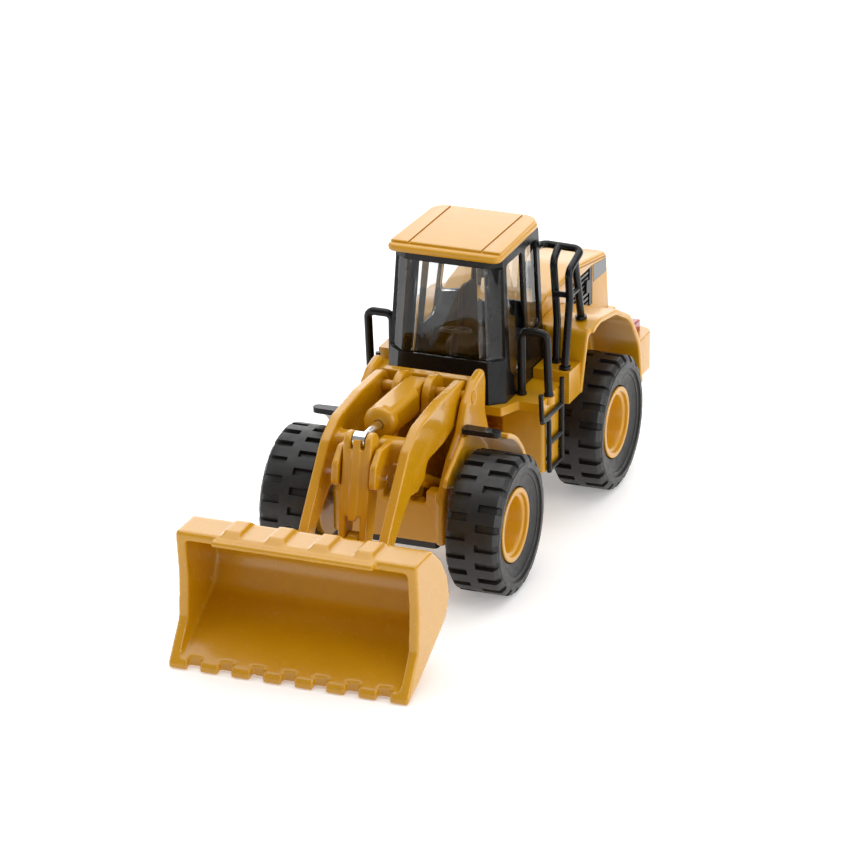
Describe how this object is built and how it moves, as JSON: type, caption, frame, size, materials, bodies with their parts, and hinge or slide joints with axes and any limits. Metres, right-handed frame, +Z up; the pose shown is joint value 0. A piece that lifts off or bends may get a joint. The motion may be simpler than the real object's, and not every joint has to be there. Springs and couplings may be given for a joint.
{
  "type": "toy front loader",
  "caption": "Scale wheel loader with steering frames, lifting arms, tilting toothed bucket, working cylinders and rolling wheels.",
  "frame": {"origin": "bottom centre of the whole toy as it stands on its wheels, with the arms down", "axes": "+Z up, the bucket faces -Y, +X towards the machine's left-hand side, which is the viewer's right from the front"},
  "size_m": [0.045, 0.135, 0.0543],
  "materials": {
    "yellow_casting": "gloss",
    "yellow_plastic": "gloss",
    "black_plastic": "satin",
    "interior_plastic": "matte",
    "tyre": "satin",
    "window": "gloss",
    "bright_rod": "polished",
    "steel_pin": "satin",
    "base_metal": "satin",
    "lamp_red": "gloss"
  },
  "bodies": {
    "rear_frame": {"rear_chassis": "yellow_casting", "rear_base_plate": "base_metal", "rear_screws": "steel_pin", "hitch_pin": "steel_pin", "engine_hood": "yellow_plastic", "hood_grille_left": "black_plastic", "hood_grille_right": "black_plastic", "radiator_grille": "black_plastic", "counterweight": "yellow_casting", "tail_lamps": "lamp_red", "rear_fender_left": "yellow_plastic", "rear_fender_right": "yellow_plastic", "cab_deck": "yellow_plastic", "ladder_left": "black_plastic", "ladder_right": "black_plastic", "grab_hoops": "black_plastic", "guard_rail": "black_plastic", "cab_frame": "black_plastic", "cab_glazing": "window", "cab_roof": "yellow_plastic", "operator_seat": "interior_plastic", "steering_column": "interior_plastic", "side_console": "interior_plastic", "precleaner": "black_plastic", "exhaust_stack": "black_plastic"},
    "front_frame": {"front_chassis": "yellow_casting", "front_base_plate": "base_metal", "front_screws": "steel_pin", "front_fender_left": "yellow_plastic", "front_fender_right": "yellow_plastic", "light_bars": "black_plastic", "arm_pivot_pin": "yellow_casting", "lift_base_pins": "yellow_casting"},
    "front_wheels": {"front_axle": "steel_pin", "front_left_hub": "yellow_plastic", "front_right_hub": "yellow_plastic", "front_left_tyre": "tyre", "front_right_tyre": "tyre"},
    "rear_wheels": {"rear_axle": "steel_pin", "rear_left_hub": "yellow_plastic", "rear_right_hub": "yellow_plastic", "rear_left_tyre": "tyre", "rear_right_tyre": "tyre"},
    "lift_arms": {"lift_arms": "yellow_casting", "bellcrank_pivot_pin": "yellow_casting", "bucket_hinge_pins": "yellow_casting", "lift_rod_pins": "yellow_casting"},
    "bellcrank": {"bellcrank": "yellow_plastic", "bellcrank_foot_pin": "yellow_casting"},
    "tilt_link": {"tilt_link": "yellow_plastic", "tilt_link_pin": "yellow_casting"},
    "bucket": {"bucket": "yellow_casting"},
    "tilt_barrel": {"tilt_cylinder_barrel": "yellow_plastic"},
    "tilt_rod": {"tilt_cylinder_rod": "bright_rod", "tilt_rod_pin": "yellow_casting"},
    "lift_barrel_left": {"lift_cylinder_barrel_left": "yellow_plastic"},
    "lift_barrel_right": {"lift_cylinder_barrel_right": "yellow_plastic"},
    "lift_rod_left": {"lift_cylinder_rod_left": "bright_rod"},
    "lift_rod_right": {"lift_cylinder_rod_right": "bright_rod"}
  },
  "joints": [
    {"name": "steering", "type": "hinge", "parent": "rear_frame", "child": "front_frame", "pos_m": [0, 0.01065, 0.0145], "axis": [0, 0, 1], "range_deg": [-30, 30]},
    {"name": "rear_wheels_spin", "type": "hinge", "parent": "rear_frame", "child": "rear_wheels", "pos_m": [0, 0.0368, 0.0125], "axis": [1, 0, 0], "continuous": true},
    {"name": "front_wheels_spin", "type": "hinge", "parent": "front_frame", "child": "front_wheels", "pos_m": [0, -0.0155, 0.0125], "axis": [1, 0, 0], "continuous": true},
    {"name": "lift", "type": "hinge", "parent": "front_frame", "child": "lift_arms", "pos_m": [0, -0.0075, 0.032], "axis": [-1, 0, 0], "range_deg": [0, 58]},
    {"name": "bucket_tilt", "type": "hinge", "parent": "lift_arms", "child": "bucket", "pos_m": [0, -0.0447, 0.0098], "axis": [1, 0, 0], "range_deg": [-38, 42]},
    {"name": "lever_pivot", "type": "hinge", "parent": "lift_arms", "child": "bellcrank", "pos_m": [0, -0.034, 0.027], "axis": [1, 0, 0], "range_deg": [-14.62, 13.3]},
    {"name": "link_pivot", "type": "hinge", "parent": "bellcrank", "child": "tilt_link", "pos_m": [0, -0.037, 0.0148], "axis": [1, 0, 0], "range_deg": [-23.33, 25.64]},
    {"name": "tilt_barrel_pivot", "type": "hinge", "parent": "lift_arms", "child": "tilt_barrel", "pos_m": [0, -0.0075, 0.032], "axis": [1, 0, 0], "range_deg": [-0.11, 0.12]},
    {"name": "tilt_rod_slide", "type": "slide", "parent": "tilt_barrel", "child": "tilt_rod", "axis": [0, -1, 0.0076], "range_m": [-0.00132, 0.00121]},
    {"name": "lift_barrel_pivot_left", "type": "hinge", "parent": "front_frame", "child": "lift_barrel_left", "pos_m": [0, -0.0105, 0.0155], "axis": [1, 0, 0], "range_deg": [-36.96, 1.08]},
    {"name": "lift_rod_slide_left", "type": "slide", "parent": "lift_barrel_left", "child": "lift_rod_left", "axis": [0, -0.8792, 0.4765], "range_m": [-0.00043, 0.0144]},
    {"name": "lift_barrel_pivot_right", "type": "hinge", "parent": "front_frame", "child": "lift_barrel_right", "pos_m": [0, -0.0105, 0.0155], "axis": [1, 0, 0], "range_deg": [-36.96, 1.08]},
    {"name": "lift_rod_slide_right", "type": "slide", "parent": "lift_barrel_right", "child": "lift_rod_right", "axis": [0, -0.8792, 0.4765], "range_m": [-0.00043, 0.0144]}
  ],
  "couplings": [
    {"joint": "lever_pivot", "follows": "bucket_tilt", "ratio": -0.32924},
    {"joint": "link_pivot", "follows": "bucket_tilt", "ratio": 0.57753},
    {"joint": "tilt_barrel_pivot", "follows": "bucket_tilt", "ratio": 0.0027439},
    {"joint": "tilt_rod_slide", "follows": "bucket_tilt", "m_per_rad": -0.001696},
    {"joint": "lift_barrel_pivot_left", "follows": "lift", "ratio": -0.61866},
    {"joint": "lift_rod_slide_left", "follows": "lift", "m_per_rad": 0.013804},
    {"joint": "lift_barrel_pivot_right", "follows": "lift", "ratio": -0.61866},
    {"joint": "lift_rod_slide_right", "follows": "lift", "m_per_rad": 0.013804}
  ]
}
